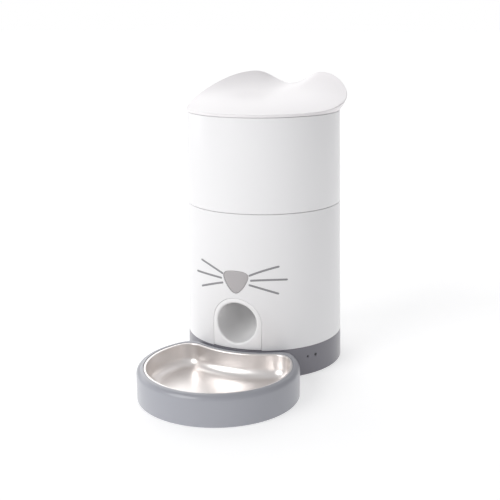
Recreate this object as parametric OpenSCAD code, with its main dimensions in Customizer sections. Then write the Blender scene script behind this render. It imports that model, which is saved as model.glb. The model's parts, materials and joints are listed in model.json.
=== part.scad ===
// Automatic pet feeder: a tapered round column that holds dry food, with a
// cat-ear lid, a geared portion wheel, a chute in the front and a bowl in a
// docked tray. Units are millimetres. +Z is up and the front faces -Y.
// The origin is the centre of the whole footprint on the floor.
// Every module draws its piece around the column's own axis, and on_axis()
// moves it to where that axis stands in the footprint.

/* [Column] */
// Radius of the column at the floor
base_r = 94.5; // [94:0.5:96]
// Radius of the column at the seam under the lid
top_r = 90; // [89.5:0.5:91]
// Height of the seam under the lid
lid_z = 302.6; // [300:0.2:306]
// Height of the seam between the grey base and the white shell
base_z = 35.6; // [35:0.2:36]
// Height of the seam between the lower and the upper shell
split_z = 195.3; // [194:0.1:197]
// Wall thickness of the shells
wall = 2.5; // [2.2:0.1:2.8]

/* [Lid] */
// Height of the ear tips above the seam
ear_rise = 40; // [36:1:44]
// Height of the rim in the notch between the ears
notch_rise = 24; // [20:1:28]
// Height of the rim at the front
brow_rise = 3; // [3:0.5:4]
// Angle of each ear from the back
ear_angle = 26; // [24:1:30]
// How far the lid's wall swells out past the seam
lid_flare = 9; // [6:1:10]

/* [Front] */
// Height of the centre of the round food mouth
mouth_z = 67; // [66.5:0.5:67.5]
// Radius of the food mouth
mouth_r = 24; // [23:0.5:24]
// Half width of the arched chute panel
arch_r = 30; // [30:0.5:31]
// Height of the middle of the nose button
nose_z = 119; // [118:0.5:120]
// Travel of the nose button
nose_travel = 1.2; // [0.8:0.1:1.4]

/* [Bowl] */
// Distance from the column's axis to the bowl's centre
bowl_y = 144.7; // [144:0.1:146]
// Outer radius of the tray
tray_r = 90.8; // [90:0.1:92]
// Height of the tray's rim
tray_z = 36.1; // [34:0.1:36.1]
// Radius of the tray's two rear corners
tray_corner = 18; // [15:1:20]
// Sheet thickness of the steel dish
steel = 0.8; // [0.6:0.1:1]

/* [Drive] */
// Module of the gears
gear_module = 1; // [1:0.05:1]
// Teeth of the two large gears
big_teeth = 36; // [36:12:36]
// Teeth of the two small gears
small_teeth = 12; // [12:1:12]
// Number of pockets in the portion wheel
pockets = 6; // [5:1:6]
// Radius of the portion wheel
wheel_r = 70; // [66:1:70]

/* [Hidden] */
$fn = 96;
gap = 0.35;
fit = 0.05;

// Levels of the base
skirt_z = 1;
foot_h = 5;
plate_z = 5;
plate_t = 2.5;
plate_top = plate_z + plate_t;
floor_angles = [42, 138, 222, 318];
floor_ring = 84;

// Lid
lid_gap = 0.4;
lid_bottom = lid_z + lid_gap;
ear_sweep = 118;
flare_h = 22;
lid_wall = 2.6;

// Food path
tube_y = -50;
tube_wall = 2;
elbow_r = mouth_r + tube_wall + 1;
foot_gap = 0.8;
outlet_r = 20;

// Nose button
nose_back = -87.8;
nose_switch_y = -82.4;

// Metering unit
deck_z = 134;
deck_t = 2.5;
deck_top = deck_z + deck_t;
deck_r = 89.3;
wheel_z = 137.3;
wheel_h = 18;
cup_gap = 1.5;
cup_r = wheel_r + cup_gap;
cup_top = 156;
cover_t = 1.5;
cover_top = cup_top + cover_t;
shaft_r = 4;
hub_r = 18;
feed_angle = 250;
boss_ring = 83;
boss_r = 4.5;

// Gear train
centre = gear_module * (big_teeth + small_teeth) / 2;
gear_case_z = 113;
gear_case_t = 2;
low_gear_z = 116.5;
low_gear_h = 4.8;
high_gear_z = 122;
high_gear_h = 5;
disc_z = 130.4;
disc_t = 0.8;
disc_r = 15;
motor_r = 12.5;
motor_h = 29;

// Hopper
upper_z = split_z + 0.5;
tank_r = 84;
tank_wall = 2;
tank_top = lid_z - 3;
spigot_r = 64;
spigot_z = cover_top + 0.5;
funnel_low = 166;
funnel_high = 194;

// Lid insert
plug_z = lid_z - 1.2;
cap_r = 27.7;
box_wall = 2;
box_z = 280;

// Bowl
dish_corner = 28;
dish_in = 10;
rim_in = 8.2;
dish_z = 8;
rim_z = tray_z - 1.3;
tray_round = 6;
tray_floor = 7.5;
hug_r = base_r + 1;

// Batteries
cell_r = 16.6;
cell_l = 61.2;
cell_y0 = 6;
cell_pitch = 34.4;
cell_z = 26.2;
bay_x = 53.7;
bay_y0 = 2.3;
bay_y1 = 69.7;
bay_top = 45;
door_z = 3;
door_t = 1.7;
rail_x = 54.3;

// Rear electronics
board_y = 74;
socket_z = 19;
status_a = 60.2;
reset_a = 53.2;
dots_z = 23.3;

// Where the column stands in the footprint
lid_reach = top_r + lid_flare;
axis_y = (bowl_y + tray_r - lid_reach) / 2;

// ---------------------------------------------------------------- helpers

module on_axis() {
    translate([0, axis_y, 0]) children();
}

// Places its children at each angle of a list, at one radius
module around(angles, radius) {
    for (a = angles) rotate([0, 0, a]) translate([radius, 0, 0]) children();
}

function column_r(z) = base_r - (base_r - top_r) * z / lid_z;

// A stretch of the tapered column, its surface moved in by inset
module column(z0, z1, inset = 0) {
    translate([0, 0, z0])
        cylinder(h = z1 - z0, r1 = column_r(z0) - inset, r2 = column_r(z1) - inset, $fn = 180);
}

module column_wall(z0, z1, inset = 0, thick = wall) {
    difference() {
        column(z0, z1, inset);
        column(z0 - 1, z1 + 1, inset + thick);
    }
}

module ring(z, h, outer, inner) {
    translate([0, 0, z]) difference() {
        cylinder(h = h, r = outer);
        translate([0, 0, -1]) cylinder(h = h + 2, r = inner);
    }
}

module disc(z, h, radius) {
    translate([0, 0, z]) cylinder(h = h, r = radius);
}

// A box given by its low and high corners
module block(low, high) {
    translate(low) cube(high - low);
}

// A cylinder along +Y
module rod_y(y0, y1, radius, x = 0, z = 0) {
    translate([x, y0, z]) rotate([-90, 0, 0]) cylinder(h = y1 - y0, r = radius);
}

module rounded_rect(w, d, r) {
    square([w - 2 * r, d], center = true);
    square([w, d - 2 * r], center = true);
    for (x = [-1, 1], y = [-1, 1])
        translate([x * (w / 2 - r), y * (d / 2 - r)]) circle(r = r, $fn = 32);
}

// Draws a front elevation, in X and Z, as a prism from the axis forward
module front_prism() {
    rotate([90, 0, 0]) linear_extrude(base_r + 10) children();
}

module screw(length, shank = 1.4, head = 3) {
    cylinder(h = 2, r = head, $fn = 32);
    translate([0, 0, -length]) cylinder(h = length + 1, r = shank, $fn = 24);
}

// Turns +X of its children to point out of the column at a degrees from the front
module facing(a, z) {
    translate([0, 0, z]) rotate([0, 0, a - 90]) children();
}

// ---------------------------------------------------------------- gears

pressure = 25;
backlash = 0.12;

function involute(a) = tan(a) - a * PI / 180;

// Half angle of a tooth at radius r
function tooth_half(teeth, r) =
    let (pitch = gear_module * teeth / 2, base = pitch * cos(pressure))
    90 / teeth - backlash / pitch * 90 / PI
        + (involute(pressure) - involute(acos(min(1, base / max(r, base))))) * 180 / PI;

// One tooth's outline, up one flank, over the tip and down the other
function tooth(teeth, a) =
    let (
        pitch = gear_module * teeth / 2,
        base = pitch * cos(pressure),
        root = pitch - 1.2 * gear_module,
        tip = pitch + 0.95 * gear_module,
        low = max(base, root),
        levels = [for (i = [0:3]) low + (tip - low) * i / 3]
    )
    concat(
        [[root, a - tooth_half(teeth, low)]],
        [for (r = levels) [r, a - tooth_half(teeth, r)]],
        [for (i = [3:-1:0]) [levels[i], a + tooth_half(teeth, levels[i])]],
        [[root, a + tooth_half(teeth, low)]]
    );

function gear_outline(teeth, phase) =
    [for (k = [0:teeth - 1]) for (p = tooth(teeth, phase + k * 360 / teeth))
        p[0] * [cos(p[1]), sin(p[1])]];

module gear(teeth, z, h, phase = 0) {
    translate([0, 0, z]) linear_extrude(h) polygon(gear_outline(teeth, phase));
}

// A small gear's gap faces the large gear's tooth at rest
small_phase = 180 / small_teeth;

module at_idler() {
    translate([0, centre, 0]) children();
}

module at_motor() {
    translate([centre, centre, 0]) children();
}

// ---------------------------------------------------------------- base

module base_shell() color("slategray") on_axis() difference() {
    union() {
        column_wall(skirt_z, base_z);
        // Lip that centres the white shell
        difference() {
            union() {
                disc(base_z - 5, 9, column_r(base_z + 4) - wall - gap);
                column(base_z - 5, base_z, 1);
            }
            disc(base_z - 6, 11, column_r(base_z) - wall - gap - 2);
        }
        // Bosses for the floor screws
        around(floor_angles, floor_ring) difference() {
            union() {
                disc(plate_top + fit, 6.4, 4);
                block([0, -1.5, plate_top + fit], [8.6, 1.5, plate_top + fit + 6.4]);
            }
            disc(plate_z, 8.3, 1.5, $fn = 24);
        }
    }
    // Slot for the tray's tongue
    block([-20.6, -100, 8.4], [20.6, -80, 15.6]);
    // Openings for the lens, the reset pin and the power socket
    facing(status_a, dots_z) rotate([0, 90, 0]) cylinder(h = 120, r = 1.9, $fn = 32);
    facing(reset_a, dots_z) rotate([0, 90, 0]) cylinder(h = 120, r = 1.25, $fn = 32);
    block([-4.9, 80, socket_z - 1.9], [4.9, 100, socket_z + 1.9]);
}

module floor_plate() color("dimgray") on_axis() {
    difference() {
        disc(plate_z, plate_t, 91.4);
        block([-bay_x + 1.5, bay_y0 + 1.5, 0], [bay_x - 1.5, bay_y1 - 1.5, 10]);
        around(floor_angles, floor_ring) disc(0, 20, 1.5, $fn = 24);
    }
    // Rails that carry the sliding battery door
    for (side = [-1, 1]) scale([side, 1, 1]) {
        block([rail_x, -58, 1.6], [rail_x + 3, bay_y1, plate_z]);
        block([rail_x - 2.3, -58, 1.6], [rail_x + 3, bay_y1, door_z - gap]);
    }
}

module base_feet() color("#2c2c30") on_axis()
    for (x = [-66, 66], y = [-46, 46]) translate([x, y, 0]) disc(0, foot_h, 7);

module floor_screws() color("silver") on_axis()
    around(floor_angles, floor_ring) translate([0, 0, plate_z]) rotate([180, 0, 0]) screw(8);

module battery_box() color("#3a3c42") on_axis() difference() {
    block([-bay_x, bay_y0, plate_top], [bay_x, bay_y1, bay_top]);
    block([-bay_x + 1.5, bay_y0 + 1.5, 0], [bay_x - 1.5, bay_y1 - 1.5, bay_top - 1.5]);
}

module battery_cells() color("#8c9096") on_axis()
    for (i = [-1:1]) {
        rod_y(cell_y0, cell_y0 + cell_l - 1.4, cell_r, i * cell_pitch, cell_z);
        rod_y(60, cell_y0 + cell_l, 4.5, i * cell_pitch, cell_z);
    }

module battery_contacts() color("#c9c4b4") on_axis()
    for (i = [-1:1]) translate([i * cell_pitch, 0, 0]) {
        block([-7, bay_y1 - 2.3, cell_z - 8], [7, bay_y1 - 1.5, cell_z + 8]);
        block([-7, bay_y0 + 1.5, cell_z - 8], [7, bay_y0 + 2, cell_z + 8]);
        // Conical spring drawn as its stacked turns
        for (turn = [0:2]) translate([0, bay_y0 + 2.3 + turn * 0.5, cell_z]) rotate([-90, 0, 0])
            rotate_extrude($fn = 32) translate([7 - 1.4 * turn, 0]) circle(r = 0.3, $fn = 16);
    }

module battery_door() color("dimgray") on_axis() {
    block([-rail_x + gap, 1.5, door_z], [rail_x - gap, 70.5, door_z + door_t]);
    // Finger ridges
    for (i = [0:4]) block([-14, 50 + 3 * i, door_z - 0.8], [14, 51.4 + 3 * i, door_z]);
}

module power_socket() color("#c9ccd0") on_axis() difference() {
    block([-4.7, 84.5, socket_z - 1.7], [4.7, 93, socket_z + 1.7]);
    block([-4.3, 85.3, socket_z - 1.3], [4.3, 94, socket_z + 1.3]);
}

module status_lens() color("#1f2226") on_axis() facing(status_a, dots_z) {
    translate([88.5, 0, 0]) rotate([0, 90, 0]) cylinder(h = 5.5, r = 1.8, $fn = 32);
}

module reset_button() color("#1f2226") on_axis() facing(reset_a, dots_z) rotate([0, 90, 0]) {
    translate([0, 0, 89.2]) cylinder(h = 4, r = 1.15, $fn = 32);
    translate([0, 0, 89.2]) cylinder(h = 1.6, r = 2.4, $fn = 32);
}

module indicator_board() color("darkgreen") on_axis() facing((status_a + reset_a) / 2, dots_z) {
    block([84.6, -13, -9], [86, 13, 9]);
    // Tact switch behind the reset pin, and the lamp behind the lens
    block([86, -9, -2.5], [87.3, -3, 2.5]);
    block([86, 3.4, -2], [87.4, 8.4, 2]);
}

// ---------------------------------------------------------------- lower shell

// The arched outline of the chute panel, pulled in by inset, with its foot at low
module arch(low, inset = 0) {
    translate([0, mouth_z]) circle(r = arch_r - inset);
    translate([-arch_r + inset, low]) square([2 * (arch_r - inset), mouth_z - low]);
}

// The nose's outline is a soft triangle that points down. Its points run round
// one wave, plus a second wave twice as fast that draws out the three corners
nose_wave = [14.6, 13.1];
nose_corner = [2.1, 1.9];
nose_shift = -1;

function nose_spot(t) = [
    nose_wave[0] * sin(t) - nose_corner[0] * sin(2 * t),
    nose_shift - nose_wave[1] * cos(t) - nose_corner[1] * cos(2 * t)];

function nose_slope(t) = [
    nose_wave[0] * cos(t) - 2 * nose_corner[0] * cos(2 * t),
    nose_wave[1] * sin(t) + 2 * nose_corner[1] * sin(2 * t)];

module nose(grow = 0) translate([0, nose_z]) polygon([for (t = [0:5:355])
    let (slope = nose_slope(t)) nose_spot(t) + [slope[1], -slope[0]] / norm(slope) * grow]);

// Whisker ends in the front elevation: inner end, then outer end, right side
whisker_ends = [[[16.8, 125], [47.4, 135.4]], [[18.4, 119.2], [55.5, 119.8]],
    [[16.8, 113.8], [47.2, 103.9]]];

whisker_w = 2.3;

// One whisker as a round-ended bar that points forward, its flat sides a hair
// inside its round ends, so that they cross cleanly
module whisker_bar(inner, outer) {
    along = outer - inner;
    half = whisker_w / 2 - 0.02;
    for (p = [inner, outer]) rod_y(-base_r - 5, -40, whisker_w / 2, p[0], p[1], $fn = 12);
    translate([inner[0], 0, inner[1]]) rotate([0, -atan2(along[1], along[0]), 0])
        block([0, -base_r - 5, -half], [norm(along), -40, half]);
}

module body_shell() color("white") on_axis() {
    difference() {
        column_wall(base_z, split_z);
        front_prism() arch(base_z - 1);
        front_prism() nose(gap);
    }
    // Bosses under the metering deck
    around([40, 140, 220, 320], boss_ring) difference() {
        union() {
            disc(deck_z - 16, 16, boss_r);
            block([0, -1.5, deck_z - 16], [8.5, 1.5, deck_z]);
        }
        disc(deck_z - 12, 20, 1.5, $fn = 24);
    }
}

// Thin inlaid bars that stand just proud of the shell
module whiskers() color("#96969b") on_axis()
    for (side = [-1, 1], ends = whisker_ends) intersection() {
        column_wall(base_z + 50, split_z - 40, -0.3, 0.3);
        whisker_bar([side * ends[0][0], ends[0][1]], [side * ends[1][0], ends[1][1]]);
    }

module chute_panel() color("white") on_axis() difference() {
    intersection() {
        column_wall(base_z, split_z);
        front_prism() arch(base_z + foot_gap, gap);
    }
    front_prism() translate([0, mouth_z]) circle(r = mouth_r);
}

// The passage from the mouth back and up, at a given radius
module elbow(radius) {
    rod_y(-base_r - 5, tube_y - elbow_r, radius, z = mouth_z);
    translate([0, tube_y - elbow_r, mouth_z + elbow_r]) rotate([0, 90, 0])
        rotate_extrude(angle = 90) translate([elbow_r, 0]) circle(r = radius);
}

module chute_scoop() color("white") on_axis() intersection() {
    difference() {
        elbow(mouth_r + tube_wall);
        elbow(mouth_r);
    }
    column(base_z, split_z, wall);
    rod_y(-base_r, 0, arch_r - gap, z = mouth_z);
}

module drop_tube() color("#dcdde0") on_axis() difference() {
    translate([0, tube_y, 0]) difference() {
        union() {
            disc(mouth_z + 13, deck_z - mouth_z - 13, mouth_r + tube_wall);
            disc(deck_z - 2, 2, mouth_r + 3.8);
        }
        disc(mouth_z, deck_z - mouth_z + 1, mouth_r);
    }
    rod_y(-base_r, 0, arch_r + gap, z = mouth_z);
    // Windows for the food sensor
    block([-40, tube_y - 3, 111], [40, tube_y + 3, 117]);
}

module food_sensor() color("#26282c") on_axis()
    for (side = [-1, 1]) scale([side, 1, 1]) {
        block([26.4, tube_y - 6, 106], [28, tube_y + 6, 122]);
        block([24.4, tube_y - 2.6, 111.4], [26.4, tube_y + 2.6, 116.6]);
    }

// ---------------------------------------------------------------- nose button

module nose_button() color("#a9a7ab") on_axis() {
    intersection() {
        column(base_z, split_z, 0.2);
        front_prism() nose();
        block([-30, -base_r, base_z], [30, nose_back, split_z]);
    }
    // Flange that the shell holds from behind, and the plunger
    intersection() {
        front_prism() nose(1.6);
        block([-30, nose_back - 0.5, base_z], [30, nose_back + 1.5, split_z]);
    }
    rod_y(nose_back, nose_switch_y - 0.3 - nose_travel, 3, z = nose_z);
}

module nose_board() color("darkgreen") on_axis()
    block([-13, nose_switch_y + 3.2, nose_z - 13], [13, nose_switch_y + 4.8, nose_z + 12]);

module nose_switch() color("#3c3e44") on_axis() {
    block([-3, nose_switch_y + 0.6, nose_z - 3], [3, nose_switch_y + 3.2, nose_z + 3]);
    rod_y(nose_switch_y, nose_switch_y + 0.7, 1.6, z = nose_z);
}

// ---------------------------------------------------------------- metering unit

module metering_cup() color("#c3c7cc") on_axis() difference() {
    union() {
        disc(deck_z, deck_t, deck_r);
        disc(deck_z, cup_top - deck_z, cup_r + 2);
    }
    disc(deck_top, 30, cup_r);
    disc(deck_z - 1, 5, 6);
    translate([0, tube_y, 0]) disc(deck_z - 1, 5, outlet_r);
    around([40, 140, 220, 320], boss_ring) disc(deck_z - 1, 5, 1.5, $fn = 24);
}

module deck_screws() color("silver") on_axis()
    around([40, 140, 220, 320], boss_ring) translate([0, 0, deck_top]) screw(10);

module shaft_bush() color("#b08d4a") on_axis() difference() {
    union() {
        disc(deck_z - 1.4, 1.4, 8);
        disc(deck_z - 1.4, deck_t + 1.8, 6);
    }
    disc(deck_z - 5, 20, shaft_r + fit);
}

module cup_cover() color("#d9dadd") on_axis() difference() {
    disc(cup_top, cover_t, cup_r + 2);
    disc(cup_top - 1, 5, shaft_r + 1);
    // The food falls in everywhere but over the outlet
    rotate([0, 0, 90 - feed_angle / 2]) translate([0, 0, cup_top - 1])
        rotate_extrude(angle = feed_angle) translate([22, 0]) square([wheel_r - 24, 5]);
}

module portion_wheel() color("#6f9fb8") on_axis() difference() {
    union() {
        disc(wheel_z, wheel_h, hub_r);
        for (k = [0:pockets - 1]) rotate([0, 0, 90 + (k + 0.5) * 360 / pockets])
            block([hub_r - 3, -1.2, wheel_z], [wheel_r, 1.2, wheel_z + wheel_h]);
    }
    disc(wheel_z - 1, 40, shaft_r + fit);
}

module drive_shaft() color("silver") on_axis()
    disc(gear_case_z - 4, 63, shaft_r);

module agitator() color("#8fb7c9") on_axis() difference() {
    union() {
        disc(cover_top + 0.8, 16, 9);
        for (a = [30, 150, 270]) rotate([0, 0, a]) {
            block([5, -2.5, cover_top + 1], [52, 2.5, cover_top + 4]);
            block([47, -2.5, cover_top + 1], [52, 2.5, cover_top + 12]);
        }
    }
    disc(cover_top, 14.5, shaft_r + fit);
}

module output_gear() color("#e8e2d0") on_axis() difference() {
    union() {
        gear(big_teeth, high_gear_z, high_gear_h);
        disc(high_gear_z, high_gear_h + 1.5, 7);
    }
    disc(high_gear_z - 1, 20, shaft_r + fit);
}

module slotted_disc() color("#26282c") on_axis() difference() {
    union() {
        disc(disc_z, disc_t, disc_r);
        disc(disc_z - 1.4, 3, 6);
    }
    disc(disc_z - 5, 10, shaft_r + fit);
    around([for (k = [0:pockets - 1]) k * 360 / pockets + 30], 12.5)
        block([-2, -1, disc_z - 5], [1.5, 1, disc_z + 5]);
}

module slot_sensor() color("#26282c") on_axis() {
    block([-23, -3, 127.9], [-17, 3, 133.7]);
    block([-18, -3, 127.9], [-10.5, 3, disc_z - 0.5]);
    block([-18, -3, disc_z + disc_t + 0.5], [-10.5, 3, 133.7]);
}

module idler_gear() color("#e8e2d0") on_axis() at_idler() difference() {
    union() {
        gear(big_teeth, low_gear_z, low_gear_h);
        gear(small_teeth, low_gear_z + low_gear_h - 0.1, high_gear_h + 1.2, small_phase);
    }
    disc(low_gear_z - 1, 30, 2 + fit);
}

module idler_axle() color("silver") on_axis() at_idler()
    disc(gear_case_z, deck_z - gear_case_z, 2);

module motor_pinion() color("#b08d4a") on_axis() at_motor() difference() {
    gear(small_teeth, low_gear_z - 0.2, low_gear_h + 0.4, small_phase);
    disc(low_gear_z - 1, 30, 1.5);
}

module motor_shaft() color("silver") on_axis() at_motor()
    disc(gear_case_z - 12, 12 + low_gear_z - gear_case_z + 5.5, 1.5);

module gear_motor() color("#9da1a8") on_axis() at_motor() difference() {
    union() {
        disc(gear_case_z - motor_h, motor_h, motor_r);
        disc(gear_case_z - motor_h - 4, 5, 8);
    }
    disc(gear_case_z - 12.5, 20, 1.5 + fit);
}

module gearbox_case() color("#e4e5e8") on_axis() {
    difference() {
        union() {
            translate([4, 12.1, gear_case_z]) linear_extrude(deck_z - gear_case_z) rounded_rect(62, 67.8, 10);
            // Pads for the screws
            for (x = [-27, 35]) translate([x, 18, gear_case_z]) cylinder(h = 3, r = 6);
        }
        translate([4, 12.1, gear_case_z + gear_case_t]) linear_extrude(30) rounded_rect(58.4, 64.2, 8.2);
        disc(gear_case_z - 1, 5, shaft_r + fit);
        at_idler() disc(gear_case_z - 1, 5, 2 + fit);
        at_motor() disc(gear_case_z - 1, 5, 3);
        for (x = [-30.5, 38.5]) translate([x, 18, gear_case_z - 1]) cylinder(h = 6, r = 1.3, $fn = 24);
    }
    // Blind bearing under the drive shaft
    difference() {
        disc(gear_case_z - 6, 6, 7);
        disc(gear_case_z - 4.3, 8, shaft_r + fit);
    }
    // Posts up to the deck beside the pads
    for (x = [-30.5, 38.5]) translate([x, 18, gear_case_z + 3]) difference() {
        cylinder(h = deck_z - gear_case_z - 3, r = 3.2);
        translate([0, 0, -1]) cylinder(h = 12, r = 1.3, $fn = 24);
    }
}

module gearbox_screws() color("silver") on_axis()
    for (x = [-30.5, 38.5]) translate([x, 18, gear_case_z]) rotate([180, 0, 0]) screw(10, 1.25);

// ---------------------------------------------------------------- electronics

module board_bracket() color("#e4e5e8") on_axis() intersection() {
    for (x = [-33, 33]) {
        block([x - 1.5, board_y + 1.6, 52], [x + 1.5, base_r, 116]);
        block([x - 4, board_y + 1.6, 52], [x + 4, board_y + 3, 116]);
    }
    column(50, 118, wall + fit);
}

module main_board() color("darkgreen") on_axis() {
    block([-38, board_y, 50], [38, board_y + 1.6, 118]);
    // Connectors, relay and capacitor on the inner face
    block([-30, board_y - 6, 54], [-12, board_y, 60]);
    block([8, board_y - 6, 54], [30, board_y, 60]);
    block([14, board_y - 9, 92], [28, board_y, 106]);
    rod_y(board_y - 11, board_y, 4, 0, 72);
}

module wireless_module() color("#b9bcc2") on_axis()
    block([-30, board_y - 3.2, 84], [-12, board_y, 112]);

module buzzer() color("#1f2226") on_axis() difference() {
    rod_y(board_y - 8, board_y, 6, 25, 75);
    rod_y(board_y - 9, board_y - 6, 1.2, 25, 75);
}

// ---------------------------------------------------------------- hopper

module upper_shell() color("white") on_axis() {
    column_wall(upper_z, lid_z);
    // Lip that drops inside the lower shell
    ring(split_z - 5, 8, column_r(split_z) - wall - 2 * gap, column_r(split_z) - wall - 2 * gap - 2);
    difference() {
        column(upper_z, upper_z + 3, 1);
        disc(upper_z - 1, 5, column_r(split_z) - wall - 2 * gap - 1);
    }
}

module hopper_tank() color("#d5dade") on_axis() rotate_extrude($fn = 180) polygon([
    [spigot_r - tank_wall, spigot_z], [spigot_r, spigot_z], [spigot_r, funnel_low],
    [tank_r, funnel_high], [tank_r, tank_top - 2], [87.2, tank_top - 2], [87.2, tank_top],
    [tank_r - tank_wall, tank_top], [tank_r - tank_wall, funnel_high + 0.5],
    [spigot_r - tank_wall, funnel_low + 0.5]]);

module mouth_seal() color("#55606a") on_axis()
    ring(spigot_z + 0.5, 3, spigot_r + 3, spigot_r);

// ---------------------------------------------------------------- lid

function smooth(t) = let (u = max(0, min(1, t))) u * u * (3 - 2 * u);

// Height of the lid's rim above the seam, a degrees round from the back
function rim_rise(a) = let (b = abs(a))
    b < ear_angle
        ? ear_rise - (ear_rise - notch_rise) * (1 + cos(180 * b / ear_angle)) / 2
        : brow_rise + (ear_rise - brow_rise)
            * pow((1 + cos(180 * min(1, (b - ear_angle) / ear_sweep))) / 2, 2.5);

// Radius of the lid's wall at a height above the seam
function lid_r(a, rise) = top_r
    + lid_flare * (1 - pow(1 - min(1, rise / flare_h), 2)) * (1 - smooth((abs(a) - 78) / 45));

// Height of the domed middle of the lid at a distance behind the axis
function crown(y) = 6 + 0.085 * (y + top_r);

lid_steps = 72;
wall_parts = [0.2, 0.4, 0.6, 0.8, 0.93];
top_parts = [0.985, 0.95, 0.88, 0.76, 0.6, 0.4, 0.2];

// One ring of the lid's wall, at a part of the rim's height, moved in by inset
function wall_ring(part, inset) = [for (k = [0:lid_steps - 1])
    let (
        a = k * 360 / lid_steps - 180,
        rise = max(0.6, rim_rise(a) - inset),
        r = lid_r(a, part * rise) - inset
    )
    [r * sin(a), r * cos(a), lid_bottom + part * rise]];

// One ring of the lid's top, at a part of the rim's radius
function top_ring(part, inset) = [for (k = [0:lid_steps - 1])
    let (
        a = k * 360 / lid_steps - 180,
        rise = max(0.6, rim_rise(a) - inset),
        r = (lid_r(a, rise) - inset) * part,
        dome = max(0.6, crown(r * cos(a)) - inset)
    )
    [r * sin(a), r * cos(a), lid_bottom + dome + pow(part, 4) * (rise - dome)]];

// Rings from the foot of the wall over the rim to the middle
function lid_rings(inset) = concat(
    [wall_ring(0, inset)],
    [for (part = wall_parts) wall_ring(part, inset)],
    [for (part = top_parts) top_ring(part, inset)]);

function flipped(faces, flip) = flip ? [for (f = faces) [f[2], f[1], f[0]]] : faces;

// Faces of a stack of rings that closes on the point with index tip
function skin_faces(first, count, tip, flip) = flipped(concat(
    [for (j = [0:count - 2], k = [0:lid_steps - 1])
        let (n = (k + 1) % lid_steps, low = first + j * lid_steps, high = low + lid_steps)
        each [[low + k, high + n, high + k], [low + k, low + n, high + n]]],
    [for (k = [0:lid_steps - 1]) let (last = first + (count - 1) * lid_steps)
        [last + k, last + (k + 1) % lid_steps, tip]]), flip);

// A shell of even thickness: the outer skin, the inner skin and the foot between
module ear_lid() color("white") on_axis() {
    outer = lid_rings(0);
    inner = lid_rings(lid_wall);
    count = len(outer);
    second = count * lid_steps;
    tips = 2 * second;
    polyhedron(
        concat([for (r = outer) each r], [for (r = inner) each r],
            [[0, 0, lid_bottom + crown(0)], [0, 0, lid_bottom + crown(0) - lid_wall]]),
        concat(
            skin_faces(0, count, tips, false),
            skin_faces(second, count, tips + 1, true),
            [for (k = [0:lid_steps - 1]) let (n = (k + 1) % lid_steps)
                each [[k, second + n, n], [k, second + k, second + n]]]));
}

module lid_plug() color("#eceef0") on_axis() {
    disc(plug_z, lid_bottom - plug_z, 87);
    ring(plug_z - 12, 12.1, 80.5, 78.5);
}

module lid_seal() color("#55606a") on_axis() translate([0, 0, plug_z - 7]) rotate_extrude($fn = 180)
    polygon([[80.5, -2], [81.6, -1.2], [80.9, 0], [81.6, 1.2], [80.5, 2]]);

module desiccant_box() color("#eceef0") on_axis()
    ring(box_z, plug_z - box_z, cap_r + gap + box_wall, cap_r + gap);

module desiccant_pack() color("#f3efe4") on_axis() disc(box_z + 3.4, 14, 25);

module desiccant_cap() color("#d9dadd") on_axis() difference() {
    union() {
        disc(box_z - 2, 2 - gap, cap_r + gap + box_wall);
        disc(box_z - 2, 5, cap_r);
        block([-14, -2, box_z - 6], [14, 2, box_z - 1]);
    }
    disc(box_z, 10, cap_r - 2);
    around([for (k = [0:11]) k * 30 + 15], 18)
        block([-4, -1.2, box_z - 5], [4, 1.2, box_z + 5]);
}

// ---------------------------------------------------------------- bowl

// Where a rear corner's circle touches both the tray's and the column's circle
function corner_centre(inset, corner) =
    let (
        c = corner - inset,
        r1 = tray_r - inset - c,
        r2 = hug_r + inset + c,
        y = (bowl_y * bowl_y + r2 * r2 - r1 * r1) / (2 * bowl_y)
    )
    [sqrt(r2 * r2 - y * y), -y];

// The tray's outline, moved in by inset: a circle with a bite for the column
// and a round corner at each end of the bite
module tray_outline(inset = 0, corner = tray_corner) {
    spot = corner_centre(inset, corner);
    on_tray = [0, -bowl_y] + (spot - [0, -bowl_y]) * (tray_r - inset) / norm(spot - [0, -bowl_y]);
    on_column = spot * (hug_r + inset) / norm(spot);
    difference() {
        translate([0, -bowl_y]) circle(r = tray_r - inset, $fn = 180);
        circle(r = hug_r + inset, $fn = 180);
        for (side = [-1, 1]) scale([side, 1]) polygon([
            on_column, on_tray, on_tray + [30, 0], [on_tray[0] + 30, 0], [on_column[0], 0]]);
    }
    for (side = [-1, 1]) translate([side * spot[0], spot[1]]) circle(r = corner - inset, $fn = 64);
}

module tray_slab(z0, z1, inset, corner = tray_corner) {
    translate([0, 0, z0]) linear_extrude(z1 - z0) tray_outline(inset, corner);
}

module bowl_tray() color("#9aa5b3") on_axis() {
    difference() {
        union() {
            tray_slab(skirt_z, tray_z - tray_round, 0);
            // Rounded shoulder in steps
            for (i = [1:4]) tray_slab(tray_z - tray_round, tray_z - tray_round * (1 - sin(22.5 * i)),
                tray_round * (1 - cos(22.5 * i - 11.25)));
        }
        tray_slab(rim_z - 0.3, tray_z + 1, rim_in - 0.4, dish_corner);
        tray_slab(tray_floor, tray_z + 1, dish_in - 0.4, dish_corner);
        tray_slab(skirt_z - 1, 5, 2.5);
    }
    block([-20, -hug_r - 3, 9], [20, -86, 15]);
}

module tray_feet() color("#2c2c30") on_axis() {
    for (a = [205, 335]) translate([75 * cos(a), -bowl_y + 75 * sin(a), 0]) disc(0, 5, 6);
    for (x = [-52, 52]) translate([x, -112, 0]) disc(0, 5, 6);
}

// The dish's wall runs into its floor in steps that stand for one wide fillet:
// how far in each step is, and how high it starts
dish_steps = [[0, 6.8], [1.2, 3.8], [3.2, 1.3], [6.5, 0]];

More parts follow.
